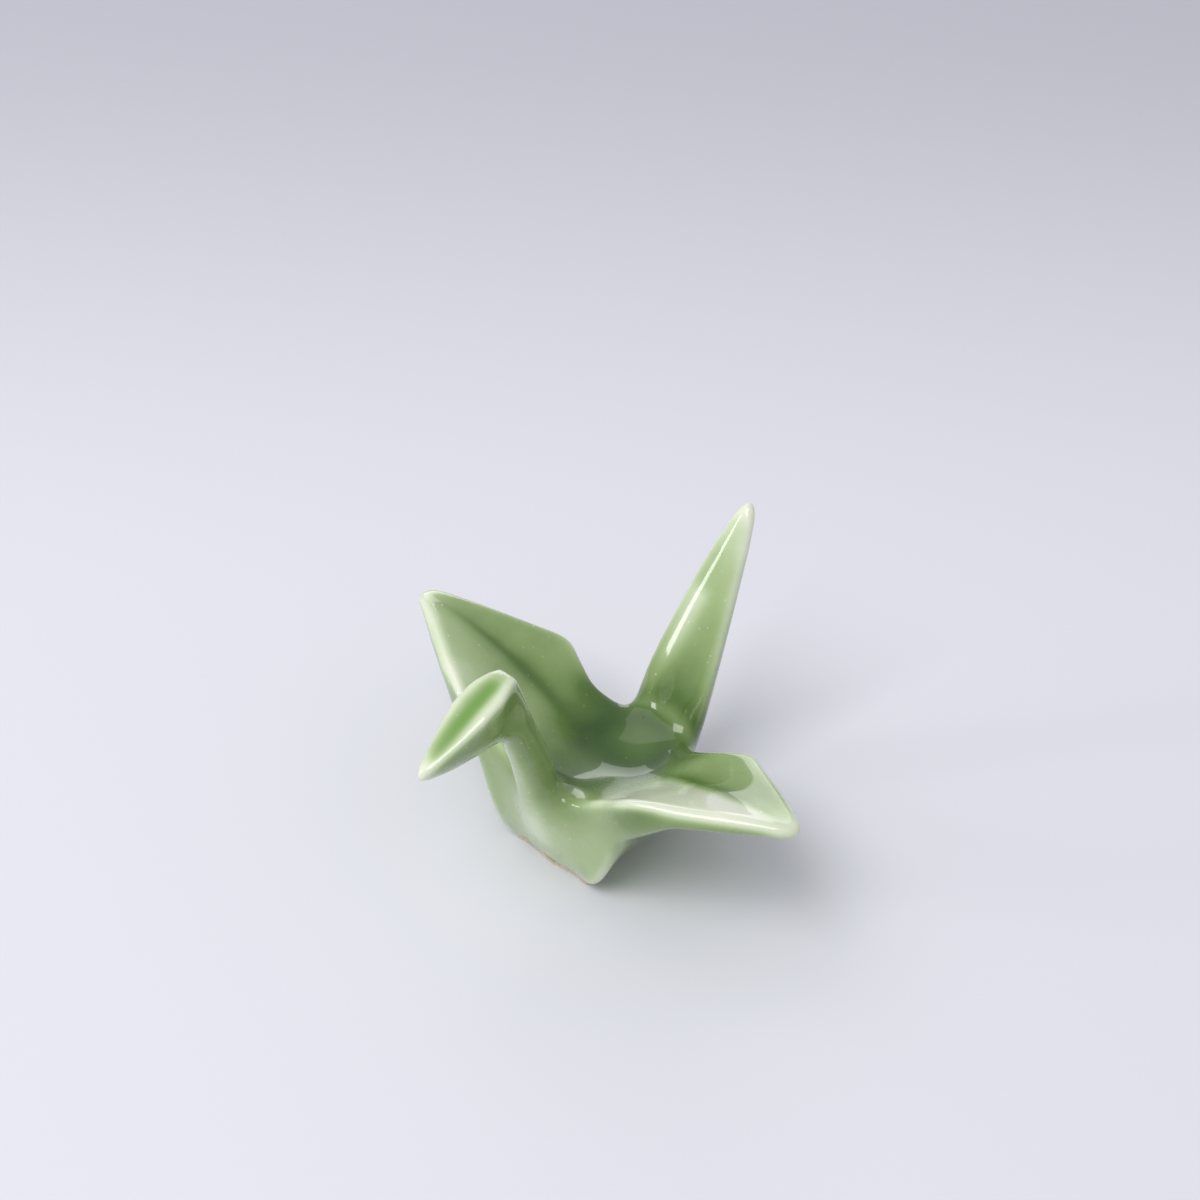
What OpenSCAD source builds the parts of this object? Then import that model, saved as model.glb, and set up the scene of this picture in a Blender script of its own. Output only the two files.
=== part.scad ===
// Chopstick rest in the form of a folded paper crane, glazed porcelain.
// +X points to the beak, +Y to the crane's left wing, +Z up.
// The origin is the middle of the flat unglazed foot, on the table.

/* [Foot] */
// Length of the flat foot, front to back
foot_length = 20.6; // [17:0.2:24.6]
// Width of the flat foot
foot_width = 13.8; // [11.4:0.2:16.4]
// Height of the unglazed foot below the glazed body
foot_height = 0.5; // [0.4:0.05:0.6]

/* [Body] */
// Length of the body between breast and rump
body_length = 22; // [18.2:0.2:26.2]
// Width of the body between the joints of its two wings
body_width = 26.8; // [22.2:0.2:32]
// Height of the lowest place of the saddle between the wings
saddle_height = 9.6; // [7.9:0.1:11.5]

/* [Wings] */
// Distance between the two wing tips
wing_span = 67.6; // [56:0.2:80.6]
// Front to back size of a wing where it leaves the body
wing_chord = 22; // [18.2:0.2:26.2]
// Height of the front edge of the wings
wing_height = 22.8; // [18.9:0.1:27.2]
// Radius of the rounded wing edges
wing_edge_radius = 1.1; // [0.9:0.05:1.3]

/* [Neck and head] */
// Depth of the neck where it leaves the breast, front to back
neck_depth = 5.8; // [4.8:0.1:6.9]
// Width of the flat front of the neck where it leaves the breast
neck_width = 3.8; // [3.1:0.1:4.6]
// Width of the flat back of the neck
nape_width = 3.2; // [2.6:0.1:3.8]
// Height of the crown of the head
head_height = 37.8; // [31.4:0.1:45]
// Distance that the crown stands ahead of the foot's middle
head_reach = 17.3; // [14.4:0.1:20.6]
// Length of the head from the crown to the tip of the beak
beak_length = 15; // [12.4:0.1:17.9]
// Widest place of the folded head
head_width = 6.0; // [5:0.1:7.2]
// Depth of the fold along the top of the head
head_fold_depth = 1.0; // [0.8:0.05:1.2]

/* [Tail] */
// Height of the tip of the tail
tail_height = 39.3; // [32.6:0.1:46.8]
// Distance that the tip stands behind the foot's middle
tail_reach = 28.8; // [24:0.1:34.3]
// Width of the tail where it leaves the rump
tail_width = 12; // [10:0.1:14.3]
// Thickness of the tail where it leaves the rump
tail_thickness = 6; // [5:0.1:7.1]
// Height of the round ridge down the front of the tail
tail_crown = 0.6; // [0.5:0.05:0.7]

/* [Edges] */
// Radius of the rounded edges of neck, head and tail
fold_edge_radius = 0.7; // [0.55:0.05:0.85]

/* [Hidden] */

// Steps of each rounded edge
edge_steps = 3;
// Points along each side between two rounded edges of the body, wings and folded forms
span_side_points = 3;
fold_side_points = 1;
// Most that a rounded edge takes of the side it stands on
edge_limit_share = 0.42;

body_end = body_length / 2;
wing_rise = wing_height - saddle_height;
belly_rise = wing_height - foot_height;
tail_rise = tail_height - foot_height;

// Rows along the half span are counted from 0 in the middle of the body to 1 at
// the wing tip. Wing and body are joined at this share of them.
wing_joint_share = 0.394;
// Up to this share the form takes its length from the body, and from there to the
// joint it passes over to the chord of the wing
body_flat_share = 0.2;
// How far the rows of a form are blended into each other
blend_share = 0.025;

// Upper corners of the body and wing form. Each row holds its place along the half
// span, its place along the chord from the middle, in half chords, and its share
// of the rise from the saddle to the wing height.
front_ridge_shares = [
    [0, 1.2, 0.45], [0.1, 1.13, 0.46], [0.16, 1.06, 0.5], [0.21, 1.03, 0.56],
    [0.285, 1.0, 0.68], [0.333, 1.02, 0.78], [0.394, 1.07, 0.91], [0.44, 1.08, 0.98],
    [0.5, 0.97, 1], [0.6, 0.80, 1], [0.78, 0.46, 1.01], [0.92, 0.21, 1], [1, 0.12, 0.97]];
top_fold_shares = [
    [0, -0.18, 0], [0.145, -0.18, 0.05], [0.2, -0.18, 0.14], [0.285, -0.17, 0.32],
    [0.333, -0.16, 0.38], [0.394, -0.15, 0.46], [0.5, -0.14, 0.58], [0.6, -0.12, 0.69],
    [0.78, -0.05, 0.85], [0.92, 0.02, 0.92], [1, 0.04, 0.94]];
rear_edge_shares = [
    [0, -1.04, 0.15], [0.145, -1.02, 0.17], [0.2, -0.94, 0.22], [0.285, -0.78, 0.37],
    [0.333, -0.82, 0.42], [0.394, -0.89, 0.48], [0.47, -1.0, 0.53], [0.5, -1.01, 0.54],
    [0.53, -0.98, 0.57], [0.6, -0.83, 0.64], [0.78, -0.51, 0.79], [0.92, -0.24, 0.91],
    [1, -0.08, 0.95]];

// Corners of the flanks, with heights as shares of the rise from the foot's top to
// the wing height
rear_rim_shares = [
    [0, -1.14, 0.23], [0.145, -1.07, 0.23], [0.2, -0.98, 0.30], [0.285, -0.82, 0.46],
    [0.333, -0.85, 0.52], [0.394, -0.91, 0.57], [0.5, -1.02, 0.61], [0.6, -0.82, 0.69],
    [0.78, -0.50, 0.79], [0.92, -0.23, 0.88], [1, -0.07, 0.915]];
front_rim_shares = [
    [0, 1.08, 0.28], [0.1, 1.06, 0.28], [0.16, 1.02, 0.28], [0.21, 1.0, 0.30],
    [0.285, 1.0, 0.37], [0.333, 1.02, 0.48], [0.36, 1.02, 0.54], [0.394, 1.02, 0.60],
    [0.5, 1.0, 0.74], [0.6, 0.89, 0.87], [0.78, 0.57, 0.905], [0.92, 0.29, 0.92],
    [1, 0.12, 0.93]];

// Corners of the belly, with places counted in half foot lengths where the form
// takes its length from the body
rear_belly_shares = [
    [0, -1.0, 0], [0.145, -0.92, 0], [0.2, -0.77, 0.05], [0.24, -0.68, 0.12],
    [0.285, -0.61, 0.20], [0.333, -0.58, 0.35], [0.394, -0.57, 0.47], [0.5, -0.55, 0.58],
    [0.6, -0.45, 0.68], [0.78, -0.27, 0.80], [0.92, -0.09, 0.88], [1, 0, 0.905]];
waist_shares = [
    [0, 0.7, 0], [0.145, 0.7, 0], [0.18, 0.7, 0.02], [0.206, 0.7, 0.045],
    [0.241, 0.7, 0.11], [0.26, 0.71, 0.15], [0.285, 0.7, 0.20], [0.324, 0.67, 0.34],
    [0.36, 0.59, 0.43], [0.394, 0.50, 0.49], [0.5, 0.25, 0.61], [0.6, 0.12, 0.72],
    [0.78, 0.05, 0.82], [0.92, 0.03, 0.88], [1, 0.03, 0.905]];
front_belly_shares = [
    [0, 0.97, 0], [0.11, 0.965, 0], [0.16, 0.99, 0], [0.2, 1.02, 0], [0.25, 1.02, 0.03],
    [0.292, 1.01, 0.12], [0.332, 1.0, 0.26], [0.352, 0.98, 0.36], [0.366, 0.955, 0.45],
    [0.394, 0.86, 0.53], [0.5, 0.66, 0.66], [0.6, 0.50, 0.77], [0.78, 0.27, 0.835],
    [0.92, 0.14, 0.885], [1, 0.06, 0.905]];

// Rounding of those corners in wing edge radii, round the ring from the front ridge
span_radius_shares = [1.2, 1.6, 1.6, 1, 2.4, 2, 0.7, 1.4];

// Places along the half span at which the form is drawn
body_row_shares = [
    0, 0.035, 0.07, 0.095, 0.12, 0.145, 0.17, 0.195, 0.22, 0.245, 0.27, 0.295, 0.32, 0.345,
    0.37];
wing_row_shares = [
    0.42, 0.445, 0.47, 0.495, 0.52, 0.545, 0.57, 0.6, 0.63, 0.67, 0.71, 0.75, 0.79, 0.83,
    0.87, 0.91, 0.94, 0.965];
// The last rows of a wing close in on its tip as a round end
tip_row_shares = [[0.98, 0.9], [0.992, 0.7], [1, 0.35]];

function unit_vector(v) = v / norm(v);

// Quadratic curve from a to b that bends towards c, at share t
function bend(a, c, b, t) = (1 - t) * (1 - t) * a + 2 * t * (1 - t) * c + t * t * b;

// Length that the rounding of corner i takes off the sides beside it
function corner_cut(corners, radii, i) =
    let (
        n = len(corners),
        back = norm(corners[(i + n - 1) % n] - corners[i]),
        ahead = norm(corners[(i + 1) % n] - corners[i])
    )
    min(radii[i], edge_limit_share * min(back, ahead));

// Closed outline through corner points, each rounded by its own radius, with some
// more points along each straight side
function rounded_outline(corners, radii, side_points) = let (n = len(corners)) [
    for (i = [0:n - 1])
        let (
            here = corners[i],
            next = corners[(i + 1) % n],
            ahead = unit_vector(next - here),
            cut = corner_cut(corners, radii, i),
            start = here + unit_vector(corners[(i + n - 1) % n] - here) * cut,
            end = here + ahead * cut,
            side = next - ahead * corner_cut(corners, radii, (i + 1) % n) - end
        )
        each concat(
            [for (s = [0:edge_steps]) bend(start, here, end, s / edge_steps)],
            [for (s = [1:1:side_points]) end + side * s / (side_points + 1)])];

function average(list) = list * [for (i = list) 1] / len(list);
function middle(ring) = [for (k = [0:2]) average([for (p = ring) p[k]])];

// Closed solid through a row of rings that all have as many points
module loft(rings) {
    n = len(rings[0]);
    last = len(rings) - 1;
    points = concat([for (r = rings) each r], [middle(rings[0]), middle(rings[last])]);
    first_middle = n * len(rings);
    sides = [for (j = [0:last - 1], i = [0:n - 1])
        let (a = j * n + i, b = j * n + (i + 1) % n)
        each [[a, b, a + n], [b, b + n, a + n]]];
    first_cap = [for (i = [0:n - 1]) [(i + 1) % n, i, first_middle]];
    last_cap = [for (i = [0:n - 1]) [last * n + i, last * n + (i + 1) % n, first_middle + 1]];
    polyhedron(points = points, faces = concat(sides, first_cap, last_cap), convexity = 6);
}

// One value of a table of rows, blended over its neighbours
function blended(rows, column, t) = let (pairs = [for (r = rows) [r[0], r[column]]])
    (lookup(t - blend_share, pairs) + 2 * lookup(t, pairs) + lookup(t + blend_share, pairs)) / 4;

// Half the form's length at share t, from its length in the middle to the chord
function half_chord(t, middle_length) =
    lookup(t, [[body_flat_share, middle_length], [wing_joint_share, wing_chord]]) / 2;

function top_corner(rows, t) = [
    blended(rows, 1, t) * half_chord(t, body_length),
    saddle_height + blended(rows, 2, t) * wing_rise];
function rim_corner(rows, t) = [
    blended(rows, 1, t) * half_chord(t, body_length),
    foot_height + blended(rows, 2, t) * belly_rise];
function belly_corner(rows, t) = [
    blended(rows, 1, t) * half_chord(t, foot_length),
    foot_height + blended(rows, 2, t) * belly_rise];

// Corners of the body and wing form at share t of the half span
function span_corners(t) = [
    top_corner(front_ridge_shares, t),
    top_corner(top_fold_shares, t),
    top_corner(rear_edge_shares, t),
    rim_corner(rear_rim_shares, t),
    belly_corner(rear_belly_shares, t),
    belly_corner(waist_shares, t),
    belly_corner(front_belly_shares, t),
    rim_corner(front_rim_shares, t)];

// Distance from the middle plane at share t of the half span
function place_across(t) =
    lookup(t, [[0, 0], [wing_joint_share, body_width / 2], [1, wing_span / 2]]);

// Ring at share t of the half span, on side 1 or -1, drawn in on its own middle by size
function span_ring(t, side, size = 1) =
    let (
        outline = rounded_outline(
            span_corners(t), span_radius_shares * wing_edge_radius, span_side_points),
        centre = [average([for (p = outline) p[0]]), average([for (p = outline) p[1]])]
    )
    [for (p = outline)
        let (q = centre + (p - centre) * size) [q[0], side * place_across(t), q[1]]];

module wing() {
    loft(concat(
        [span_ring(wing_joint_share, 1)],
        [for (t = wing_row_shares) span_ring(t, 1)],
        [for (row = tip_row_shares) span_ring(row[0], 1, row[1])]));
}

// Ring of a folded form in the plane that holds its keel, its edges and the Y
// direction. From the keel it runs over a flank to an edge, over a shoulder down
// into the fold between the edges, and back over the other flank. Halves are the
// half widths at the keel, the flanks and the edges, shoulder_shares place the
// shoulders in edge halves and fold depths, and turn is the side it starts on.
function fold_ring(
    keel, edge, halves, flank_share, fold_depth, shoulder_shares, radii, turn) =
    let (
        start = [keel[0], 0, keel[1]],
        across = [edge[0] - keel[0], 0, edge[1] - keel[1]],
        side = [0, turn, 0],
        down = -unit_vector(across) * fold_depth,
        shoulder_half = shoulder_shares[0] * halves[2]
    )
    rounded_outline([
        start - side * halves[0],
        start + side * halves[0],
        start + across * flank_share + side * halves[1],
        start + across + side * halves[2],
        start + across + down * shoulder_shares[1] + side * shoulder_half,
        start + across + down,
        start + across + down * shoulder_shares[1] - side * shoulder_half,
        start + across - side * halves[2],
        start + across * flank_share - side * halves[1]], radii, fold_side_points);

// Rows of the breast and neck. Each holds the front's place between the body's end
// and the crown's reach, its height, its half width in half neck widths, the
// flank's place between front and nape, its half width in half neck widths, the
// depth from front to nape in neck depths, the nape's height, its half width in
// half nape widths, and the fold's share of the head fold.
breast_shares = [
    [-0.09, 0, 1.1, 0.1, 2.3, 1.2, 0, 1.4, 0],
    [0.02, 0.07, 1.2, 0.1, 2.2, 1.2, 0.07, 1.4, 0],
    [0.17, 0.14, 1.25, 0.1, 2.0, 1.2, 0.15, 1.4, 0],
    [0.35, 0.24, 1.2, 0.14, 1.75, 1.15, 0.25, 1.4, 0],
    [0.47, 0.32, 1.1, 0.25, 1.5, 1.07, 0.33, 1.3, 0]];
neck_joint_row_share = [0.62, 0.4, 1, 0.45, 1.25, 1, 0.42, 1.2, 0];
neck_shares = [
    [0.82, 0.53, 0.75, 0.5, 0.97, 0.89, 0.585, 1.05, 0],
    [1.0, 0.645, 0.6, 0.5, 0.85, 0.73, 0.73, 1.0, 0],
    [1.11, 0.705, 0.54, 0.5, 0.85, 0.53, 0.88, 1.0, 0.1]];
head_joint_row_share = [1.18, 0.732, 0.5, 0.45, 0.9, 0.32, 1.007, 1.0, 0.15];

// Rows of the head. Each holds the keel's place ahead of the crown in beak lengths
// and its height, the edge's place and height, the half widths at the keel, the
// flanks and the edges in half head widths, and the fold's share of its depth.
head_shares = [
    [0.105, 0.732, -0.03, 1.012, 0.27, 0.60, 0.58, 0.25],
    [0.18, 0.732, 0.07, 1.009, 0.22, 0.66, 0.78, 0.5],
    [0.27, 0.733, 0.18, 0.997, 0.16, 0.74, 0.98, 0.9],
    [0.45, 0.739, 0.41, 0.962, 0.12, 0.66, 1.03, 1],
    [0.67, 0.752, 0.65, 0.908, 0.1, 0.50, 0.79, 0.85],
    [0.85, 0.770, 0.84, 0.863, 0.08, 0.33, 0.52, 0.5],
    [0.95, 0.785, 0.94, 0.840, 0.08, 0.23, 0.34, 0.15]];
beak_tip_share = [1.0, 0.799, 0.99, 0.821, 0.06, 0.12, 0.12, 0];
head_flank_share = 0.35;

// Rounding of the rings' corners in fold edge radii, from the keel round to it again
neck_radius_shares = [0.8, 0.8, 1.6, 0.8, 1.2, 1.2, 1.2, 0.8, 1.6];
head_radius_shares = [1, 1, 1.7, 1.9, 1.6, 0.8, 1.6, 1.9, 1.7];
tail_radius_shares = [1.4, 1.4, 2.2, 2.5, 3, 3, 3, 2.5, 2.2];

// Shoulders of the folds, as shares of the edge halves and of the fold depth
neck_shoulder_shares = [0.5, 0.5];
head_shoulder_shares = [0.46, 0.2];
tail_shoulder_shares = [0.5, 0.8];

// Height of the neck's joint, as a share of the rise from the saddle to the wings
neck_joint_rise_share = 0.44091;
neck_joint_height = saddle_height + neck_joint_rise_share * wing_rise;

// Height at a share of the way from foot to crown. Below the neck's joint it follows
// the body, and above it the head.
function front_height(share) =
    let (joint = neck_joint_row_share[1])
    share < joint
        ? foot_height + share / joint * (neck_joint_height - foot_height)
        : neck_joint_height + (share - joint) / (1 - joint) * (head_height - neck_joint_height);

function neck_ring(row) =
    let (front = body_end + row[0] * (head_reach - body_end))
    fold_ring(
        [front, front_height(row[1])],
        [front - row[5] * neck_depth, front_height(row[6])],
        [row[2] * neck_width / 2, row[4] * neck_width / 2, row[7] * nape_width / 2],
        row[3], row[8] * head_fold_depth, neck_shoulder_shares,
        neck_radius_shares * fold_edge_radius, -1);

function head_ring(row) = fold_ring(
    [head_reach + row[0] * beak_length, front_height(row[1])],
    [head_reach + row[2] * beak_length, front_height(row[3])],
    [for (k = [4:6]) row[k] * head_width / 2],
    head_flank_share, row[7] * head_fold_depth, head_shoulder_shares,
    head_radius_shares * fold_edge_radius, -1);

neck_joint_ring = neck_ring(neck_joint_row_share);
head_joint_ring = neck_ring(head_joint_row_share);

// Rows of the rump and tail. Each holds the keel's place between the body's end and
// the tail's reach, its height, the distance from keel to front edge in tail
// thicknesses, the front edge's height, and the half width in half tail widths.
rump_shares = [
    [0.03, 0, 1.05, 0, 0.84],
    [0.19, 0.065, 1.08, 0.115, 0.99]];
tail_joint_row_share = [0.353, 0.169, 1.09, 0.246, 1.05];
tail_shares = [
    [0.417, 0.261, 1.0, 0.326, 1.04],
    [0.588, 0.461, 0.82, 0.512, 0.87],
    [0.765, 0.661, 0.64, 0.70, 0.67],
    [0.927, 0.844, 0.44, 0.869, 0.45],
    [1.0, 0.930, 0.31, 0.948, 0.30],
    [1.016, 0.967, 0.21, 0.978, 0.2]];
tail_tip_share = [1.01, 0.989, 0.1, 0.995, 0.08];
// The tail's keel and flanks narrow down from its front edges by these shares
tail_half_shares = [0.1, 0.77, 1];
tail_flank_share = 0.45;

function tail_ring(row) =
    let (keel = -body_end - row[0] * (tail_reach - body_end))
    fold_ring(
        [keel, foot_height + row[1] * tail_rise],
        [keel + row[2] * tail_thickness, foot_height + row[3] * tail_rise],
        tail_half_shares * row[4] * tail_width / 2,
        tail_flank_share, -tail_crown, tail_shoulder_shares,
        tail_radius_shares * fold_edge_radius, 1);

tail_joint_ring = tail_ring(tail_joint_row_share);

module body() {
    half_rows = concat(body_row_shares, [wing_joint_share]);
    color("darkseagreen") {
        loft(concat(
            [for (i = [len(half_rows) - 1:-1:1]) span_ring(half_rows[i], -1)],
            [for (t = half_rows) span_ring(t, 1)]));
        loft(concat([for (row = breast_shares) neck_ring(row)], [neck_joint_ring]));
        loft(concat([for (row = rump_shares) tail_ring(row)], [tail_joint_ring]));
    }
}

module neck() {
    color("palegreen")
        loft(concat([neck_joint_ring], [for (row = neck_shares) neck_ring(row)], [head_joint_ring]));
}

module head() {
    color("honeydew")
        loft(concat(
            [head_joint_ring], [for (row = head_shares) head_ring(row)], [head_ring(beak_tip_share)]));
}

module tail() {
    color("palegreen")
        loft(concat(
            [tail_joint_ring], [for (row = tail_shares) tail_ring(row)], [tail_ring(tail_tip_share)]));
}

module left_wing() {
    color("darkseagreen") wing();
}

module right_wing() {
    color("darkseagreen") mirror([0, 1, 0]) wing();
}

// Half outline of the foot, from the breast round to the rump, as shares of the
// foot's half length and half width
foot_shares = [
    [0.99, 0], [0.92, 0.62], [0.97, 1], [0.72, 0.98], [0.52, 0.8], [0, 0.88], [-0.66, 0.8],
    [-0.94, 0.54], [-0.99, 0]];
// Rounding of the foot's corners, as a share of its width
foot_corner_share = 0.12;

module foot() {
    half = [for (p = foot_shares) [p[0] * foot_length / 2, p[1] * foot_width / 2]];
    corners = concat(half, [for (i = [len(half) - 2:-1:1]) [half[i][0], -half[i][1]]]);
    color("tan") linear_extrude(foot_height)
        polygon(rounded_outline(corners, [for (p = corners) foot_corner_share * foot_width], 0));
}

body();
neck();
head();
tail();
left_wing();
right_wing();
foot();
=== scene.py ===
# %% [markdown]
# A glazed porcelain rest in the form of a folded crane, dressed for a studio picture.
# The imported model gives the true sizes, so it is loaded first as a fixed frame and
# nothing in it is moved. Everything made below is laid over it or stands in for one of
# its parts, and each new part says which one.

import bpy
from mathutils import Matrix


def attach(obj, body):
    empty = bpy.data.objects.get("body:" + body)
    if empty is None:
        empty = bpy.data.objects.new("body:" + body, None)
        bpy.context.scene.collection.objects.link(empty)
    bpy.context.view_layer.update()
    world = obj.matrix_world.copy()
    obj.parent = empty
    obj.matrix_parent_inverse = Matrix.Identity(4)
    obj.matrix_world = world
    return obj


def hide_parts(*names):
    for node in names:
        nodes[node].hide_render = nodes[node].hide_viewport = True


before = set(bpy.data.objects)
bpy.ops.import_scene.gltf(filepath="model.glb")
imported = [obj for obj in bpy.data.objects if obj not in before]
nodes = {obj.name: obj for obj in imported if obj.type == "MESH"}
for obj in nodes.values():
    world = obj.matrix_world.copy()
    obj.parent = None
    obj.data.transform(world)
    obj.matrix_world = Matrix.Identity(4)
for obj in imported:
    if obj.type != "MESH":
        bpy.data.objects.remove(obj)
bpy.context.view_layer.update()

import math

import bmesh
import bpy
import numpy as np
from mathutils import Matrix, Vector
from mathutils.bvhtree import BVHTree

scene = bpy.context.scene
print("parts in the frame:", sorted(nodes))

# %% [markdown]
# The camera. A photographer stands it a quarter of a metre off, in front of the crane's
# left shoulder, and looks down by 40 degrees. It could be placed by hand and nudged, but
# a place, a viewing direction and a field of view that were worked out once from the
# mirror pairs of the crane give the same picture every time. No shift and no depth of
# field, so that other views look alike.

# %% Camera
camera_place = Vector((0.1833, 0.1750, 0.2522))
camera_right = Vector((-0.6912, 0.7227, 0.0)).normalized()
camera_forward = Vector((-0.5536, -0.5295, -0.6428)).normalized()
camera_up = camera_right.cross(camera_forward)

camera_data = bpy.data.cameras.new("table_camera")
camera_data.lens = 78.75
camera_data.sensor_width = 36.0
camera_data.clip_start = 0.01
camera_data.clip_end = 20.0
camera = bpy.data.objects.new("table_camera", camera_data)
axes = Matrix((camera_right, camera_up, -camera_forward)).transposed()
camera.matrix_world = Matrix.Translation(camera_place) @ axes.to_4x4()
scene.collection.objects.link(camera)
scene.camera = camera
print("camera stands", round(camera_place.length, 3), "m from the foot")

# %% [markdown]
# The glaze skin. The real crane is folded in clay, dipped in glaze and fired, so every
# ridge is rounded and every fold is filled by glass that ran into it. The frame's solids
# are flat facets. They could be smoothed one by one, but then their joints would show.
# Here all glazed parts are joined, wrapped in one fine mesh of small squares, and relaxed
# together, as the glaze does in the kiln. The work is done in millimetres, because the
# wrap is more exact with numbers near one.

# %% Wrap parts in one fine mesh
MM = 1000.0
GLAZED = ["body", "neck", "head", "tail", "left_wing", "right_wing"]
SKIN_STEP_MM = 0.26


def wrapped(name, parts, step_mm):
    """One closed mesh of small squares round the named parts, in millimetres."""
    joined = bmesh.new()
    for part in parts:
        joined.from_mesh(nodes[part].data)
    mesh = bpy.data.meshes.new(name)
    joined.to_mesh(mesh)
    joined.free()
    mesh.transform(Matrix.Scale(MM, 4))
    holder = bpy.data.objects.new(name, mesh)
    scene.collection.objects.link(holder)
    wrap = holder.modifiers.new("wrap", "REMESH")
    wrap.mode = "VOXEL"
    wrap.voxel_size = step_mm
    view_graph = bpy.context.evaluated_depsgraph_get()
    skin = bpy.data.meshes.new_from_object(holder.evaluated_get(view_graph))
    bpy.data.objects.remove(holder)
    bpy.data.meshes.remove(mesh)
    skin.name = name
    return skin


skin = wrapped("glaze_skin", GLAZED, SKIN_STEP_MM)
print("glaze skin:", len(skin.vertices), "points,", len(skin.polygons), "faces")

# %% [markdown]
# Relaxing moves each point towards the middle of its neighbours. Done alone it melts thin
# tips away, so each pull is followed by a slightly larger push, which keeps the volume.
# Broad faces get a longer plain relaxing, where there is nothing to melt, so that no
# facet shows in a reflection.


# %% Relax the mesh
class Net:
    """The edges of a mesh, for averages over neighbours."""

    def __init__(self, mesh):
        ends = np.empty(len(mesh.edges) * 2, np.int64)
        mesh.edges.foreach_get("vertices", ends)
        self.a, self.b = ends[0::2], ends[1::2]
        self.count = len(mesh.vertices)
        self.degree = np.bincount(ends, minlength=self.count).astype(float)

    def mean(self, values):
        total = np.empty_like(values)
        for k in range(values.shape[1]):
            column = values[:, k]
            total[:, k] = (
                np.bincount(self.a, column[self.b], self.count)
                + np.bincount(self.b, column[self.a], self.count))
        return total / self.degree[:, None]

    def relaxed(self, values, passes, pull, push=0.0):
        for _ in range(passes):
            values = values + pull * (self.mean(values) - values)
            if push:
                values = values - push * (self.mean(values) - values)
        return values


def places(mesh):
    flat = np.empty(len(mesh.vertices) * 3)
    mesh.vertices.foreach_get("co", flat)
    return flat.reshape(-1, 3)


def set_places(mesh, points):
    mesh.vertices.foreach_set("co", points.ravel())
    mesh.update()


def facings(mesh):
    flat = np.empty(len(mesh.vertices) * 3)
    mesh.vertex_normals.foreach_get("vector", flat)
    return flat.reshape(-1, 3)


def ease(low, high, values):
    """0 below low, 1 above high, and a soft S between them."""
    share = np.clip((values - low) / (high - low), 0.0, 1.0)
    return share * share * (3.0 - 2.0 * share)


def dot(a, b):
    return (a * b).sum(1)


PULL, PUSH = 0.5, 0.53
EDGE_PASSES, FACE_PASSES, LAST_PASSES = 34, 60, 4
DROP_PASSES = 40
BROAD_DROP_MM = (0.015, 0.07)
net = Net(skin)


def evened(points, passes):
    """Relaxes broad faces plainly and leaves ridges and folds as they are."""
    flat = net.relaxed(points, passes, PULL)
    set_places(skin, points)
    drop_mm = np.abs(dot(points - flat, facings(skin)))
    drop_mm = net.relaxed(drop_mm[:, None], DROP_PASSES, PULL)[:, 0]
    broad = 1.0 - ease(*BROAD_DROP_MM, drop_mm)
    return points + (flat - points) * broad[:, None]


raw = places(skin)
points = evened(net.relaxed(raw, EDGE_PASSES, PULL, PUSH), FACE_PASSES)
points = net.relaxed(points, LAST_PASSES, PULL, PUSH)
set_places(skin, points)
print("relaxed; points moved by up to", round(float(np.abs(points - raw).max()), 2), "mm")

# %% [markdown]
# Glaze runs. While it is molten it creeps into every inner corner and leaves a small
# round fillet there, and it never leaves a hollow on a ridge. So only the points that lie
# below the average of their neighbours are lifted, again and again, and the ridges stay.
# Where it lies thickest, along the head's valley, the neck, the breast, the saddle and the
# root of the tail, the form under it and its facings are softened once more.

# %% Let the glaze fill the folds
def near_line(corners, width_mm):
    """1 on a line through the corners, and fading to 0 over the width beside it."""
    best = np.full(len(points), np.inf)
    for start, end in zip(corners[:-1], corners[1:]):
        start, end = np.array(start, float), np.array(end, float)
        along = end - start
        share = np.clip((points - start) @ along / (along @ along), 0.0, 1.0)
        best = np.minimum(best, np.linalg.norm(points - start - share[:, None] * along, axis=1))
    return np.exp(-(best / width_mm) ** 2)


FILL_ROUNDS, FILL_PASSES, FILL_SHARE = 8, 5, 0.6
GLAZED_FACE_PASSES, GLAZED_PASSES = 80, 14
FACING_PASSES, CALM_PASSES = 18, 150
for _ in range(FILL_ROUNDS):
    normals = facings(skin)
    for _ in range(FILL_PASSES):
        lift = np.clip(dot(net.mean(points) - points, normals), 0.0, None)
        points = points + normals * (FILL_SHARE * lift)[:, None]
    set_places(skin, points)
points = net.relaxed(evened(points, GLAZED_FACE_PASSES), GLAZED_PASSES, PULL)

HEAD_VALLEY = [(18.8, 0.0, 37.6), (23.5, 0.0, 35.6), (27.5, 0.0, 33.6)]
NECK_FRONT = [(17.6, 0.0, 27.2), (13.0, 0.0, 14.5), (11.2, 0.0, 3.0)]
SADDLE = [(-7.0, 0.0, 10.0), (-1.0, 0.0, 10.0), (5.0, 0.0, 12.5)]
SADDLE_FRONT = [(4.5, -10.0, 16.2), (4.8, -4.5, 13.1), (4.8, 4.5, 13.1), (4.5, 10.0, 16.2)]
NECK_ROOT = [(8.6, -3.4, 14.4), (8.6, 3.4, 14.4)]
BREAST_SIDES = [(12.4, -3.0, 15.5), (11.6, -4.8, 10.4), (10.6, -5.2, 4.0), (10.6, 5.2, 4.0),
                (11.6, 4.8, 10.4), (12.4, 3.0, 15.5)]
TAIL_ROOT = [(-11.9, -4.5, 12.4), (-11.9, 4.5, 12.4)]
BREAST_RIDGE = [(16.6, 0.0, 22.0), (14.7, 0.0, 14.6), (13.5, 0.0, 10.7), (11.9, 0.0, 5.0)]
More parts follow.
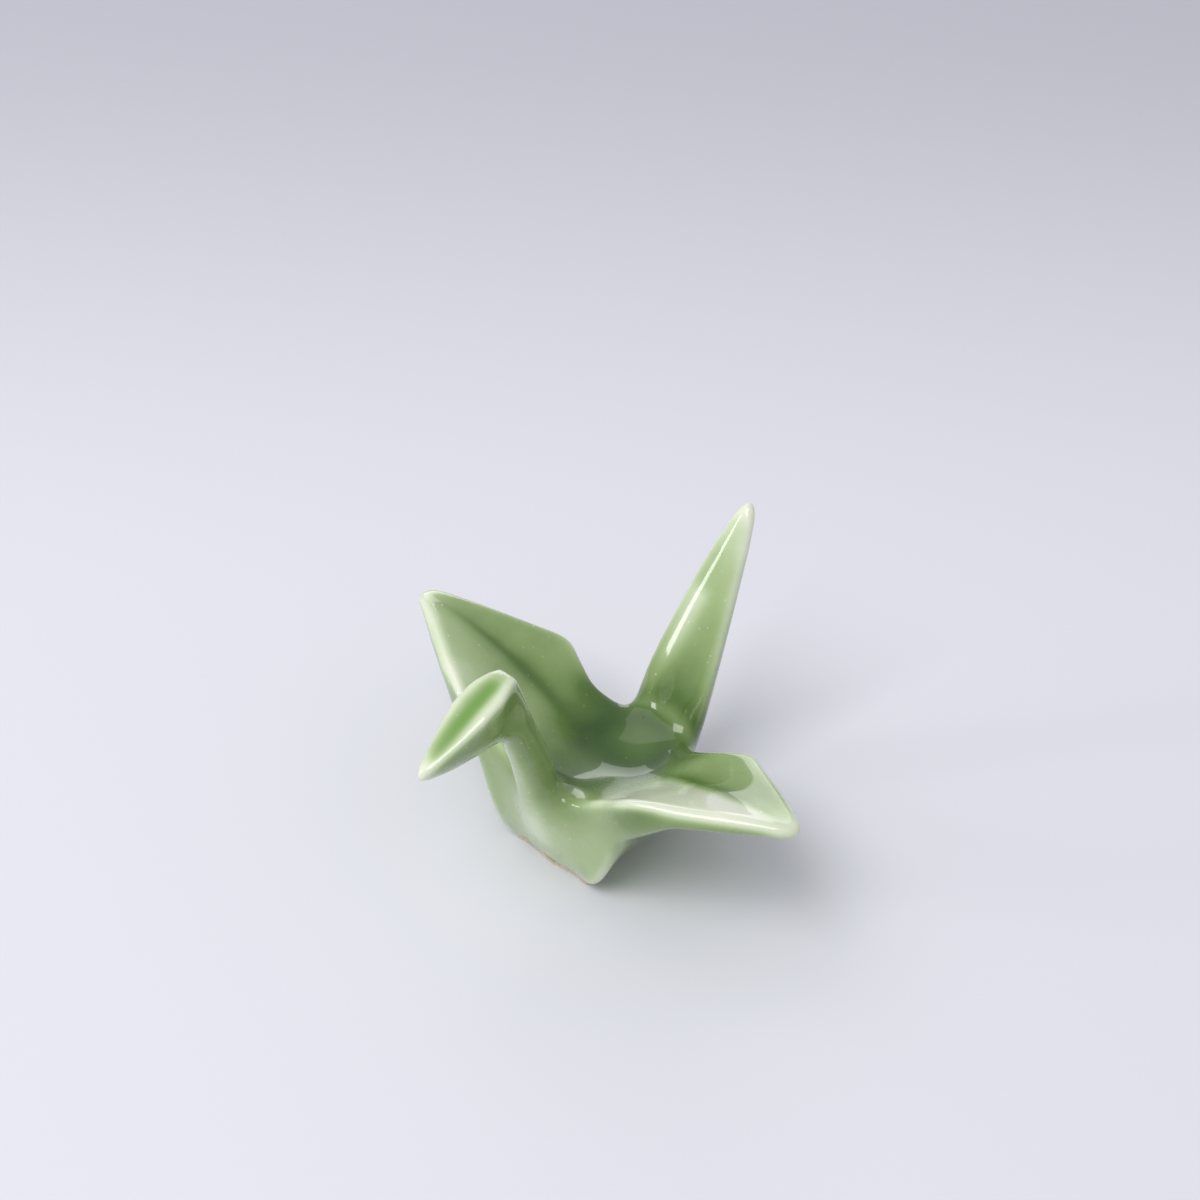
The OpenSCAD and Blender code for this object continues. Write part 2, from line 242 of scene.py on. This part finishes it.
JAW = [(23.0, 0.0, 29.6), (18.4, 0.0, 28.0)]
WING_ROOTS = [[(6.5, side * 5.6, 14.2), (2.8, side * 6.6, 13.0), (-1.5, side * 8.6, 13.4)]
              for side in (1, -1)]
# Each line with its width in millimetres and its number of relaxing passes. The facings
# are calmed along the soft folds only.
SHARP_FOLDS = [(HEAD_VALLEY, 2.3, 36)]
SOFT_FOLDS = [
    (NECK_FRONT, 4.0, 80), (SADDLE, 8.0, 120), (SADDLE_FRONT, 4.5, 160), (NECK_ROOT, 2.5, 80),
    (BREAST_SIDES, 2.4, 110), (TAIL_ROOT, 3.4, 110), (BREAST_RIDGE, 2.2, 60), (JAW, 2.0, 50),
    (WING_ROOTS[0], 3.8, 110), (WING_ROOTS[1], 3.8, 110)]
for line, width_mm, passes in SHARP_FOLDS + SOFT_FOLDS:
    softened = net.relaxed(points, passes, PULL)
    points = points + (softened - points) * near_line(line, width_mm)[:, None]
set_places(skin, points)
normals = net.relaxed(facings(skin), FACING_PASSES, PULL)
calm = np.max([near_line(line, width_mm) for line, width_mm, _ in SOFT_FOLDS], axis=0)
calmed = net.relaxed(normals, CALM_PASSES, PULL)
normals += (calmed - normals) * ease(0.1, 0.6, calm)[:, None]
normals /= np.linalg.norm(normals, axis=1)[:, None]
print("folds filled; points moved by up to", round(float(np.abs(points - raw).max()), 2), "mm")

# %% [markdown]
# Where the glaze is thin and where it pools. Celadon is a clear green glass: over a sharp
# ridge it is drawn thin and the white clay shines through, in a fold it stands deep and
# turns dark green. That could be painted by hand, but the shape knows it already: a point
# that lies above the average of its neighbourhood is on a ridge, one that lies below it
# is in a fold. Three sizes of neighbourhood, each given as relaxing passes and as the
# width in millimetres that they reach, show hair-thin ridge lines, soft edges and broad
# hollows. Each adds a share to one or both of two values, thin and pool, that run from
# 0 to 1.


# %% Ridges and folds
FINE, SOFT, BROAD = (14, 0.6), (60, 1.2), (420, 3.2)
NEIGHBOUR_PULL = 0.7


def stands_out(passes, width_mm):
    """How far each point stands above its neighbourhood, as a share of its width."""
    around = net.relaxed(points, passes, NEIGHBOUR_PULL)
    return dot(points - around, normals) / width_mm


ridge_fine = stands_out(*FINE)
ridge_soft = stands_out(*SOFT)
ridge_broad = stands_out(*BROAD)
for label, values in (("fine", ridge_fine), ("soft", ridge_soft), ("broad", ridge_broad)):
    print(label, "ridge values:", np.round(np.percentile(values, (1, 10, 50, 90, 99)), 3))

thin_and_highlight = (
    ease(0.06, 0.36, ridge_fine) * 0.3 + ease(0.06, 0.50, ridge_soft) * 0.45
    + ease(0.10, 0.60, ridge_broad) * 0.2)
pool_and_shade = ease(0.01, 0.16, -ridge_soft) * 0.4 + ease(0.0, 0.2, -ridge_broad) * 0.45

# %% [markdown]
# Some of it is not in the shape: the crease that was pressed along each wing and the
# valley on the head keep a dark thread of glaze, the glaze slid down the tail and stands
# deep at its foot, in the saddle and in the corner behind each wing, and it ran away from
# the head's ridges, the front rim of each wing and the tips. Painted light goes into the
# same two values. A painted reflection makes the front of each wing paler, most of all
# the left wing's front and tip, and makes the right wing darker behind its crease.
# Painted highlights run down the breast, the neck's front and the tail's left edge, and a
# painted sheen lies on the head's upward slopes. Painted shade darkens the neck's sides,
# the faces under each wing's rim, the saddle and the corner behind each wing. The valley
# on the head was touched up with a brighter green. These few places are given as lines
# and spots with a width in millimetres.


# %% Listed runs of glaze, painted highlights, reflections and shade
WING_CREASE = [(-2.0, 8.0, 13.6), (-1.8, 13.0, 15.6), (-1.4, 18.4, 18.2), (-0.4, 26.6, 21.3),
               (0.3, 30.2, 22.4)]
WING_RIM = [(11.2, 14.0, 21.8), (11.4, 15.4, 22.4), (8.6, 20.3, 22.6), (5.0, 26.4, 22.6),
            (1.8, 33.0, 22.4)]
WING_ROOT = [(-1.6, 15.0, 16.8), (-2.0, 9.0, 13.5)]
ROOT_CORNER = [(-8.1, 5.6, 11.6), (-8.4, 8.2, 13.4)]
HEAD_RIDGE = [(17.6, 1.8, 38.0), (20.4, 2.4, 37.3), (23.6, 2.6, 35.9), (27.2, 2.0, 34.0),
              (30.4, 1.1, 32.5)]
NECK_HIGHLIGHT_BAND = [(17.4, 0.6, 27.0), (14.7, 0.4, 14.6), (12.6, 0.4, 7.0)]
TAIL_EDGE_THIN_AND_HIGHLIGHT = [(-13.0, -3.6, 15.0), (-15.3, -3.0, 19.0), (-17.8, -2.0, 23.5), (-20.0, -1.4, 27.0)]
LEFT_WING_TIP_REFLECTION = [(1.4, 33.8, 22.1), (0.0, 30.0, 21.6)]
TIPS = [(32.3, 0.0, 30.2), (-28.9, 0.0, 39.0), (1.4, 33.8, 22.1), (1.4, -33.8, 22.1)]


def near_spot(spot, width_mm):
    """1 at a spot, and fading to 0 over the width round it."""
    return np.exp(-(np.linalg.norm(points - spot, axis=1) / width_mm) ** 2)


def near_symmetry(width_mm):
    """1 on the crane's plane of symmetry, and fading to 0 over the width beside it."""
    return np.exp(-(y / width_mm) ** 2)


# Regions of the crane: its own x, y and z in millimetres, and the way that the skin faces.
x, y, z = points.T
facing_x, facing_y, facing_z = normals.T
upward = ease(-0.2, 0.4, facing_z)
on_left_wing, on_right_wing = ease(7.0, 12.0, y), ease(7.0, 12.0, -y)
before_crease = ease(-0.4, 2.6, x + 1.8 - 0.12 * (np.abs(y) - 13.0))
on_front = ease(9.0, 12.0, x)
on_breast = ease(16.0, 8.0, z)
on_head = ease(16.8, 19.0, x) * ease(28.0, 31.0, z)
on_tail = ease(-11.5, -13.0, x)
in_valley = ease(17.6, 20.0, x) * ease(31.0, 28.5, x) * ease(31.0, 32.0, z)

# Each region or line is followed by the share that it adds to thin or pool.
for side in (1, -1):
    crease, rim, root, corner, ridge = (
        [(along, side * across, up) for along, across, up in line]
        for line in (WING_CREASE, WING_RIM, WING_ROOT, ROOT_CORNER, HEAD_RIDGE))
    is_left = side > 0
    rim_top = ease(0.35, 0.8, facing_z) * 1.3 if is_left else upward
    rim_underside_shade = ease(0.45, 0.0, facing_z) * ease(10.0, 14.0, side * y)
    pool_and_shade += near_line(crease, 0.5) * 0.25 + near_line(crease, 2.2) * 0.15
    # Partly glaze pooled in the corner behind each wing, partly painted shade there.
    pool_and_shade += near_line(corner, 3.4) * 0.75
    pool_and_shade += near_line(root, 5.0) * (0.13 if is_left else 0.25)
    # Painted shade: below each wing's rim, the faces that turn downwards are painted darker.
    pool_and_shade += near_line(rim, 6.0) * rim_underside_shade * 0.35
    thin_and_highlight += (near_line(rim, 1.4) * 0.12 + near_line(rim, 5.0) * 0.33) * rim_top
    thin_and_highlight += near_line(ridge, 1.6) * 0.14

# Painted reflection: in front of the crease, the wings' upward faces are painted paler, the left
# wing much more, and its tip too; behind the crease the right wing is painted darker.
thin_and_highlight += before_crease * on_left_wing * ease(0.3, 0.7, facing_z) * 0.95
thin_and_highlight += before_crease * on_right_wing * upward * 0.09
thin_and_highlight += near_line(LEFT_WING_TIP_REFLECTION, 3.5) * 0.35
pool_and_shade += (1.0 - before_crease) * on_right_wing * upward * 0.10

# Partly thin glaze on the head, partly a painted sheen: its upward-facing slopes are painted
# paler, the left slope more.
head_slopes = ease(0.3, 1.2, y) * 0.3 + ease(-0.9, -2.2, y) * 0.2
thin_and_highlight += on_head * (0.06 + ease(0.2, 0.6, facing_z) * head_slopes)
pool_and_shade += in_valley * (near_symmetry(0.55) * 0.15 + near_symmetry(1.1) * 0.25)
bright = in_valley * ease(31.5, 24.0, x) * near_symmetry(1.1) * 0.92

# Painted highlight: the breast's front, a band down the neck's front and the breast's faces that
# turn forwards are painted paler, as the lamps' sheen on them.
thin_and_highlight += on_front * on_breast * near_line(NECK_FRONT, 7.0) * 0.25
thin_and_highlight += on_front * near_line(NECK_HIGHLIGHT_BAND, 2.2) * 0.3
thin_and_highlight += ease(7.0, 10.0, x) * on_breast * ease(0.6, 0.95, facing_x) * 0.13
# Painted shade: the sides of the upper neck, where the faces turn sideways, are painted darker.
pool_and_shade += on_front * ease(12.0, 26.0, z) * ease(0.3, 0.8, np.abs(facing_y)) * 0.34

thin_and_highlight += on_tail * ease(17.0, 37.0, z) * 0.38
# Partly thin glaze on the ridge, partly a painted highlight: a pale line down the tail's left
# edge that carries the lamp's stripe to the tail's foot.
thin_and_highlight += near_line(TAIL_EDGE_THIN_AND_HIGHLIGHT, 1.7) * 0.55
pool_and_shade += on_tail * ease(27.0, 10.0, z) * 0.6
# Partly glaze pooled in the saddle, partly painted shade there.
pool_and_shade += near_line(SADDLE, 7.0) * 0.35

for tip in TIPS:
    thin_and_highlight += near_spot(tip, 2.6) * 0.6
thin_and_highlight, pool_and_shade = np.clip(thin_and_highlight, 0, 1), np.clip(pool_and_shade, 0, 1)
print("mean of thin and pool:", round(float(thin_and_highlight.mean()), 3), round(float(pool_and_shade.mean()), 3))

# %% [markdown]
# The values for the material. A baked picture could carry them, but that needs a flat
# layout of the skin and a size in pixels. One number per point is sharper than the glaze
# itself, because the points lie a quarter of a millimetre apart. The thin and pooled
# values are relaxed a little, as glaze has no hard edges.

# %% Keep the values on the skin
BLUR_PASSES = 8


def keep_value(mesh, name, values):
    layer = mesh.attributes.new(name, "FLOAT", "POINT")
    layer.data.foreach_set("value", values.astype(np.float32))


keep_value(skin, "glaze_thin_and_highlight", net.relaxed(thin_and_highlight[:, None], BLUR_PASSES, PULL)[:, 0])
keep_value(skin, "glaze_pool_and_shade", net.relaxed(pool_and_shade[:, None], BLUR_PASSES, PULL)[:, 0])
keep_value(skin, "glaze_bright", bright)
normal_layer = skin.attributes.new("skin_normal", "FLOAT_VECTOR", "POINT")
normal_layer.data.foreach_set("vector", normals.astype(np.float32).ravel())
print("values kept on the skin:", [layer.name for layer in skin.attributes])

# %% [markdown]
# Cutting the skin back into the crane's parts. Each part of the frame has to be replaced
# by a piece of its own, so the skin is cut along the same joints where the potter luted
# the parts together. The joint between two parts could be typed in, but then it would stay
# behind if the frame changed. It is found from the frame: the points that both parts share
# lie in its plane.

# %% Find the joints
SHARED_STEP_MM = 0.02


def joint(inner, outer):
    """Middle and direction of the plane where two parts touch, looking at the outer one."""
    rows = []
    for part in (inner, outer):
        grid = np.round(places(nodes[part].data) * MM / SHARED_STEP_MM).astype(int)
        rows.append({tuple(p) for p in grid})
    shared = np.array(sorted(rows[0] & rows[1]), float) * SHARED_STEP_MM
    middle = shared.mean(0)
    direction = np.linalg.svd(shared - middle)[2][2]
    outward = places(nodes[outer].data).mean(0) * MM - middle
    if direction @ outward < 0:
        direction = -direction
    print(inner, "to", outer, "joint at", np.round(middle, 1), "mm,", len(shared), "points")
    return middle, direction, float(np.abs(shared - middle).max())


JOINTS = {
    "left_wing": joint("body", "left_wing"),
    "right_wing": joint("body", "right_wing"),
    "tail": joint("body", "tail"),
    "neck": joint("body", "neck"),
    "head": joint("neck", "head"),
}

# %% [markdown]
# The cut. The planes cut the skin cleanly, and then each small square goes to one part.
# The planes could decide that alone, but a plane has no end, and other parts can lie
# beyond the neck's or the tail's. So for these two the nearer solid has a say as well,
# with a margin in favour of the outer part, because in the fillet round a joint the skin
# is as near to one part as to the other.

# %% Cut the skin at the joints
CUT_MARGIN_MM = 1.2
CUT_TOLERANCE_MM = 0.01
FILLET_MM = 0.5
cut = bmesh.new()
cut.from_mesh(skin)
for middle, direction, reach in JOINTS.values():
    centre = Vector(middle)
    limit = reach * math.sqrt(2) + CUT_MARGIN_MM
    near = [f for f in cut.faces if (f.calc_center_median() - centre).length < limit]
    near_edges = {e for f in near for e in f.edges}
    near_points = {v for f in near for v in f.verts}
    bmesh.ops.bisect_plane(
        cut, geom=near + list(near_edges) + list(near_points), dist=CUT_TOLERANCE_MM,
        plane_co=centre, plane_no=Vector(direction))
cut.to_mesh(skin)
cut.free()

centres = np.empty(len(skin.polygons) * 3)
skin.polygons.foreach_get("center", centres)
centres = centres.reshape(-1, 3)


def beyond(part):
    middle, direction, _ = JOINTS[part]
    return (centres - middle) @ direction > 0


def distance_to(*parts):
    """Distance of each face of the skin from the nearest of the named parts."""
    found = np.full(len(centres), np.inf)
    for part in parts:
        body_mesh = bmesh.new()
        body_mesh.from_mesh(nodes[part].data)
        body_mesh.transform(Matrix.Scale(MM, 4))
        tree = BVHTree.FromBMesh(body_mesh)
        body_mesh.free()
        found = np.minimum(found, [tree.find_nearest(Vector(c))[3] for c in centres])
    return found


to_body = distance_to("body") + FILLET_MM
above_joint = (distance_to("neck", "head") < to_body) & beyond("neck")
owner = np.full(len(centres), GLAZED.index("body"))
owner[above_joint] = GLAZED.index("neck")
owner[above_joint & beyond("head")] = GLAZED.index("head")
owner[(distance_to("tail") < to_body) & beyond("tail")] = GLAZED.index("tail")
owner[beyond("left_wing")] = GLAZED.index("left_wing")
owner[beyond("right_wing")] = GLAZED.index("right_wing")
print("faces of each part:", {p: int((owner == i).sum()) for i, p in enumerate(GLAZED)})

# %% [markdown]
# Each piece is closed again at its joints, so that it is a whole form of its own, and it
# keeps the facing of the uncut skin at every point. Without that, the light would break
# along the joints and they would show as lines.


# %% Make the glazed pieces
def dressed(name, part, mesh):
    mesh.transform(Matrix.Scale(1 / MM, 4))
    mesh.name = name
    piece = bpy.data.objects.new(name, mesh)
    scene.collection.objects.link(piece)
    mesh.polygons.foreach_set("use_smooth", [True] * len(mesh.polygons))
    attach(piece, "root")
    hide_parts(part)
    print(name, "has", len(mesh.polygons), "faces and replaces", part)
    return piece


def glazed_piece(part):
    form = bmesh.new()
    form.from_mesh(skin)
    form.faces.ensure_lookup_table()
    others = [form.faces[i] for i in np.flatnonzero(owner != GLAZED.index(part))]
    bmesh.ops.delete(form, geom=others, context="FACES")
    open_edges = [e for e in form.edges if e.is_boundary]
    bmesh.ops.holes_fill(form, edges=open_edges, sides=0)
    mesh = bpy.data.meshes.new(part)
    form.to_mesh(mesh)
    form.free()
    piece = dressed("glazed_" + part, part, mesh)
    kept_normals = np.empty(len(mesh.vertices) * 3, np.float32)
    mesh.attributes["skin_normal"].data.foreach_get("vector", kept_normals)
    mesh.normals_split_custom_set_from_vertices(kept_normals.reshape(-1, 3).tolist())
    mesh.attributes.remove(mesh.attributes["skin_normal"])
    return piece


glazed_pieces = [glazed_piece(part) for part in GLAZED]
bpy.data.meshes.remove(skin)

# %% [markdown]
# The foot. The potter wipes the glaze off the foot so that the crane doesn't fuse to the
# kiln shelf, and rubs the bare edge smooth. A copy of the frame's foot, wrapped and
# relaxed a little, gives that rubbed edge.

# %% Bare foot
FOOT_STEP_MM = 0.1
FOOT_PASSES = 10
foot_mesh = wrapped("foot", ["foot"], FOOT_STEP_MM)
foot_net = Net(foot_mesh)
set_places(foot_mesh, foot_net.relaxed(places(foot_mesh), FOOT_PASSES, PULL, PUSH))
foot_piece = dressed("bare_foot", "foot", foot_mesh)

# %% [markdown]
# Specks. Both the glaze and the bare clay carry small specks: pinholes in the glaze,
# where a bubble broke, painted pale cream so that they also stand for their glints, which
# is painted highlight, and grains of iron in the clay. One node group makes the mask for
# both. It puts a dot in some cells of a cell pattern and leaves the others empty.


# %% Speck mask
def add(tree, kind, inputs=None, **settings):
    """A node with its settings and the values of its named or numbered inputs."""
    made = tree.nodes.new(kind)
    for key, value in settings.items():
        setattr(made, key, value)
    for key, value in (inputs or {}).items():
        if isinstance(value, bpy.types.NodeSocket):
            tree.links.new(value, made.inputs[key])
        else:
            made.inputs[key].default_value = value
    return made


def maths(tree, operation, a, b=0.0, clamp=False):
    made = add(tree, "ShaderNodeMath", {0: a, 1: b}, operation=operation, use_clamp=clamp)
    return made.outputs[0]


def between(tree, value, low, high, to_low=0.0, to_high=1.0):
    made = add(
        tree, "ShaderNodeMapRange",
        {"Value": value, "From Min": low, "From Max": high, "To Min": to_low, "To Max": to_high},
        interpolation_type="SMOOTHSTEP")
    return made.outputs["Result"]


speck_group = bpy.data.node_groups.new("specks", "ShaderNodeTree")
for socket_name, kind, start in (
        ("Place", "NodeSocketVector", None), ("Per metre", "NodeSocketFloat", 700.0),
        ("Size", "NodeSocketFloat", 0.12), ("Share", "NodeSocketFloat", 0.1)):
    made_socket = speck_group.interface.new_socket(socket_name, in_out="INPUT", socket_type=kind)
    if start is not None:
        made_socket.default_value = start
speck_group.interface.new_socket("Mask", in_out="OUTPUT", socket_type="NodeSocketFloat")
speck_in = add(speck_group, "NodeGroupInput")
cells = add(speck_group, "ShaderNodeTexVoronoi", {
    "Vector": speck_in.outputs["Place"], "Scale": speck_in.outputs["Per metre"]})
cell_draw = add(speck_group, "ShaderNodeSeparateColor", {0: cells.outputs["Color"]})
near_middle = add(speck_group, "ShaderNodeMapRange", {
    "Value": cells.outputs["Distance"], "From Min": speck_in.outputs["Size"],
    "From Max": 0.0}, interpolation_type="SMOOTHSTEP")
chosen = maths(speck_group, "LESS_THAN", cell_draw.outputs[0], speck_in.outputs["Share"])
add(speck_group, "NodeGroupOutput", {
    "Mask": maths(speck_group, "MULTIPLY", near_middle.outputs["Result"], chosen)})
print("speck group has", len(speck_group.nodes), "nodes")

# %% [markdown]
# The celadon glaze. Real celadon is a thick clear glass with a little iron in it over
# white clay. It could be made as a volume, but that is slow, grainy and lost in an
# export. Here the depth of the glaze is worked out as one number from the values kept on
# the skin, which also carry the painted highlights, reflections and shade, with slow
# mottling from noise, and a ramp turns that number into colour: cream where it is thin or
# where light is painted, grey green over the faces, bottle green in the folds and where
# shade is painted. A third value mixes in the brighter green of the head's valley. A
# clear coat over a slightly rougher base gives sharp highlights with a soft bloom round
# them.

# %% Celadon glaze material
GLAZE_RAMP = [
    (0.0, (0.79, 0.83, 0.65)),
    (0.2, (0.60, 0.70, 0.45)),
    (0.38, (0.38, 0.50, 0.235)),
    (0.55, (0.24, 0.345, 0.125)),
    (0.75, (0.096, 0.178, 0.034)),
    (1.0, (0.034, 0.088, 0.014)),
]
VALLEY_GREEN = (0.120, 0.30, 0.022)
PINHOLE_AND_GLINT_CREAM = (0.80, 0.84, 0.72)

glaze = bpy.data.materials.new("celadon_glaze")
glaze.use_nodes = True
tree = glaze.node_tree
tree.nodes.clear()
place = add(tree, "ShaderNodeTexCoord").outputs["Object"]
thin_and_highlight_value = add(tree, "ShaderNodeAttribute", attribute_name="glaze_thin_and_highlight").outputs["Fac"]
pool_and_shade_value = add(tree, "ShaderNodeAttribute", attribute_name="glaze_pool_and_shade").outputs["Fac"]
mottle = add(tree, "ShaderNodeTexNoise", {
    "Vector": place, "Scale": 150.0, "Detail": 3.0, "Roughness": 0.55}).outputs["Fac"]
flow = add(tree, "ShaderNodeTexNoise", {
    "Vector": place, "Scale": 45.0, "Detail": 2.0}).outputs["Fac"]

depth_and_light = maths(tree, "MULTIPLY_ADD", pool_and_shade_value, 0.5)
depth_and_light.node.inputs[2].default_value = 0.5
depth_and_light = maths(tree, "SUBTRACT", depth_and_light, maths(tree, "MULTIPLY", thin_and_highlight_value, 0.5))
depth_and_light = maths(tree, "ADD", depth_and_light, between(tree, mottle, 0.3, 0.7, -0.03, 0.03))
depth_and_light = maths(tree, "ADD", depth_and_light, between(tree, flow, 0.3, 0.7, -0.05, 0.05), clamp=True)
ramp = add(tree, "ShaderNodeValToRGB", {"Fac": depth_and_light})
stops = ramp.color_ramp.elements
while len(stops) < len(GLAZE_RAMP):
    stops.new(0.5)
for stop, (position, colour) in zip(stops, GLAZE_RAMP):
    stop.position = position
    stop.color = (*colour, 1.0)

bright_value = add(tree, "ShaderNodeAttribute", attribute_name="glaze_bright").outputs["Fac"]
touched_up = add(tree, "ShaderNodeMix", {
    0: bright_value, 6: ramp.outputs["Color"], 7: (*VALLEY_GREEN, 1.0)}, data_type="RGBA")

pinholes_and_glints = add(tree, "ShaderNodeGroup", node_tree=speck_group)
tree.links.new(place, pinholes_and_glints.inputs["Place"])
pinholes_and_glints.inputs["Per metre"].default_value = 700.0
pinholes_and_glints.inputs["Size"].default_value = 0.17
pinholes_and_glints.inputs["Share"].default_value = 0.5
# Partly the pinholes' own colour, partly painted glints: the pinholes are painted pale cream,
# most where the glaze is thin.
speckled = add(tree, "ShaderNodeMix", {
    0: maths(tree, "MULTIPLY", pinholes_and_glints.outputs["Mask"], between(
        tree, thin_and_highlight_value, 0.0, 0.5, 0.15, 1.0)),
    6: touched_up.outputs[2], 7: (*PINHOLE_AND_GLINT_CREAM, 1.0)}, data_type="RGBA")

waves = add(tree, "ShaderNodeTexNoise", {
    "Vector": place, "Scale": 420.0, "Detail": 2.0, "Roughness": 0.5}).outputs["Fac"]
height = maths(tree, "MULTIPLY_ADD", pinholes_and_glints.outputs["Mask"], 0.5)
tree.links.new(maths(tree, "MULTIPLY", waves, 0.55), height.node.inputs[2])
bump = add(tree, "ShaderNodeBump", {"Height": height, "Strength": 0.07, "Distance": 0.0004})

shine = add(tree, "ShaderNodeBsdfPrincipled", {
    "Base Color": speckled.outputs[2],
    "Roughness": between(tree, mottle, 0.3, 0.7, 0.22, 0.32),
    "Normal": bump.outputs["Normal"],
    "IOR": 1.5, "Specular IOR Level": 0.15,
    "Coat Weight": 1.0, "Coat Roughness": 0.05, "Coat IOR": 1.5})
add(tree, "ShaderNodeOutputMaterial", {"Surface": shine.outputs["BSDF"]})
for piece in glazed_pieces:
    piece.data.materials.clear()
    piece.data.materials.append(glaze)
print("glaze material has", len(tree.nodes), "nodes")

# %% [markdown]
# The bare clay. Fired porcelain without glaze is matt and warm, toasted buff where the
# kiln's flame touched it, with fine grains of iron. Fine noise in the bump gives its dry
# tooth.

# %% Bare clay material
clay = bpy.data.materials.new("bare_clay")
clay.use_nodes = True
tree = clay.node_tree
tree.nodes.clear()
place = add(tree, "ShaderNodeTexCoord").outputs["Object"]
toast = add(tree, "ShaderNodeTexNoise", {
    "Vector": place, "Scale": 320.0, "Detail": 4.0, "Roughness": 0.6}).outputs["Fac"]
warm = add(tree, "ShaderNodeMix", {
    0: between(tree, toast, 0.3, 0.7), 6: (0.52, 0.42, 0.30, 1.0),
    7: (0.70, 0.62, 0.50, 1.0)}, data_type="RGBA")
iron = add(tree, "ShaderNodeGroup", node_tree=speck_group)
tree.links.new(place, iron.inputs["Place"])
iron.inputs["Per metre"].default_value = 1500.0
iron.inputs["Size"].default_value = 0.25
iron.inputs["Share"].default_value = 0.08
dotted = add(tree, "ShaderNodeMix", {
    0: maths(tree, "MULTIPLY", iron.outputs["Mask"], 0.7), 6: warm.outputs[2],
    7: (0.16, 0.10, 0.06, 1.0)}, data_type="RGBA")
tooth = add(tree, "ShaderNodeTexNoise", {"Vector": place, "Scale": 4000.0, "Detail": 2.0})
rough_bump = add(tree, "ShaderNodeBump", {
    "Height": tooth.outputs["Fac"], "Strength": 0.3, "Distance": 0.0001})
matt = add(tree, "ShaderNodeBsdfPrincipled", {
    "Base Color": dotted.outputs[2], "Roughness": between(tree, toast, 0.3, 0.7, 0.7, 0.85),
    "Normal": rough_bump.outputs["Normal"]})
add(tree, "ShaderNodeOutputMaterial", {"Surface": matt.outputs["BSDF"]})
foot_piece.data.materials.clear()
foot_piece.data.materials.append(clay)
print("clay material has", len(tree.nodes), "nodes")

# %% [markdown]
# The table. A pale seamless sheet of cool grey, as product pictures use. Its colour is
# painted darker towards the back: painted shade, where the far paper falls out of the
# light. It is only a stage and isn't part of the crane.

# %% Floor
FLOOR_HALF = 3.0
# The back tone is painted shade: the paper is painted darker towards the back.
FRONT_TONE, BACK_SHADE_TONE = (0.765, 0.765, 0.815), (0.555, 0.555, 0.610)
TONE_STARTS, TONE_ENDS = 0.04, 0.25
AWAY_FROM_CAMERA = (-0.7227, -0.6912, 0.0)
floor_mesh = bpy.data.meshes.new("floor")
floor_mesh.from_pydata(
    [(-FLOOR_HALF, -FLOOR_HALF, 0), (FLOOR_HALF, -FLOOR_HALF, 0),
     (FLOOR_HALF, FLOOR_HALF, 0), (-FLOOR_HALF, FLOOR_HALF, 0)], [], [(0, 1, 2, 3)])
floor = bpy.data.objects.new("floor", floor_mesh)
scene.collection.objects.link(floor)

paper = bpy.data.materials.new("studio_paper")
paper.use_nodes = True
tree = paper.node_tree
tree.nodes.clear()
floor_place = add(tree, "ShaderNodeTexCoord").outputs["Object"]
backwards = add(tree, "ShaderNodeVectorMath", {
    0: floor_place, 1: AWAY_FROM_CAMERA}, operation="DOT_PRODUCT").outputs["Value"]
paper_tone = add(tree, "ShaderNodeMix", {
    0: between(tree, backwards, TONE_STARTS, TONE_ENDS), 6: (*FRONT_TONE, 1.0),
    7: (*BACK_SHADE_TONE, 1.0)}, data_type="RGBA")
sheet = add(tree, "ShaderNodeBsdfPrincipled", {
    "Base Color": paper_tone.outputs[2], "Roughness": 0.9, "Specular IOR Level": 0.1})
add(tree, "ShaderNodeOutputMaterial", {"Surface": sheet.outputs["BSDF"]})
floor_mesh.materials.append(paper)
print("floor is", 2 * FLOOR_HALF, "m wide")

# %% [markdown]
# Studio light. Gloss shows each lamp as a bright shape, so each one stands where its
# mirror image belongs. The key softbox hangs overhead, a little to the left and in front:
# it draws the bright line along the near wing's rim and casts the shadow under that wing,
# to the right and back. A large weak fill on the left puts a soft sheen on the head and
# the rump. A narrow window far left, low over the table, draws the long stripe down the
# tail. A weak panel behind shows in the near wing's rear half and ends there with a
# curved border. The world is a plain pale room.

# %% Lights
view_back = Vector((camera_forward.x, camera_forward.y, 0.0)).normalized()


def softbox(name, across, back, up, width, length, watts):
    """A rectangular light, placed in metres along the picture's right, back and up."""
    data = bpy.data.lights.new(name, "AREA")
    data.shape = "RECTANGLE"
    data.size, data.size_y = width, length
    data.energy = watts
    lamp = bpy.data.objects.new(name, data)
    lamp.location = camera_right * across + view_back * back + Vector((0.0, 0.0, up))
    towards = -lamp.location.normalized()
    lamp.rotation_euler = towards.to_track_quat("-Z", "Y").to_euler()
    scene.collection.objects.link(lamp)
    print(name, "is", round(lamp.location.length, 2), "m away,", watts, "W")


softbox("key_softbox", -0.31, -0.35, 0.83, 0.52, 0.52, 4.2)
softbox("fill_softbox", -0.45, 0.25, 0.80, 0.8, 0.6, 1.3)
softbox("window_strip", -0.97, -0.075, 0.26, 0.10, 0.52, 1.4)
softbox("back_panel", -0.02, 1.15, 0.29, 0.56, 0.57, 1.45)

ROOM_COLOUR, ROOM_STRENGTH = (0.80, 0.81, 0.86), 0.6
world = bpy.data.worlds.new("studio_room")
world.use_nodes = True
room = world.node_tree.nodes["Background"].inputs
room["Color"].default_value = (*ROOM_COLOUR, 1.0)
room["Strength"].default_value = ROOM_STRENGTH
scene.world = world
scene.view_settings.view_transform = "Standard"
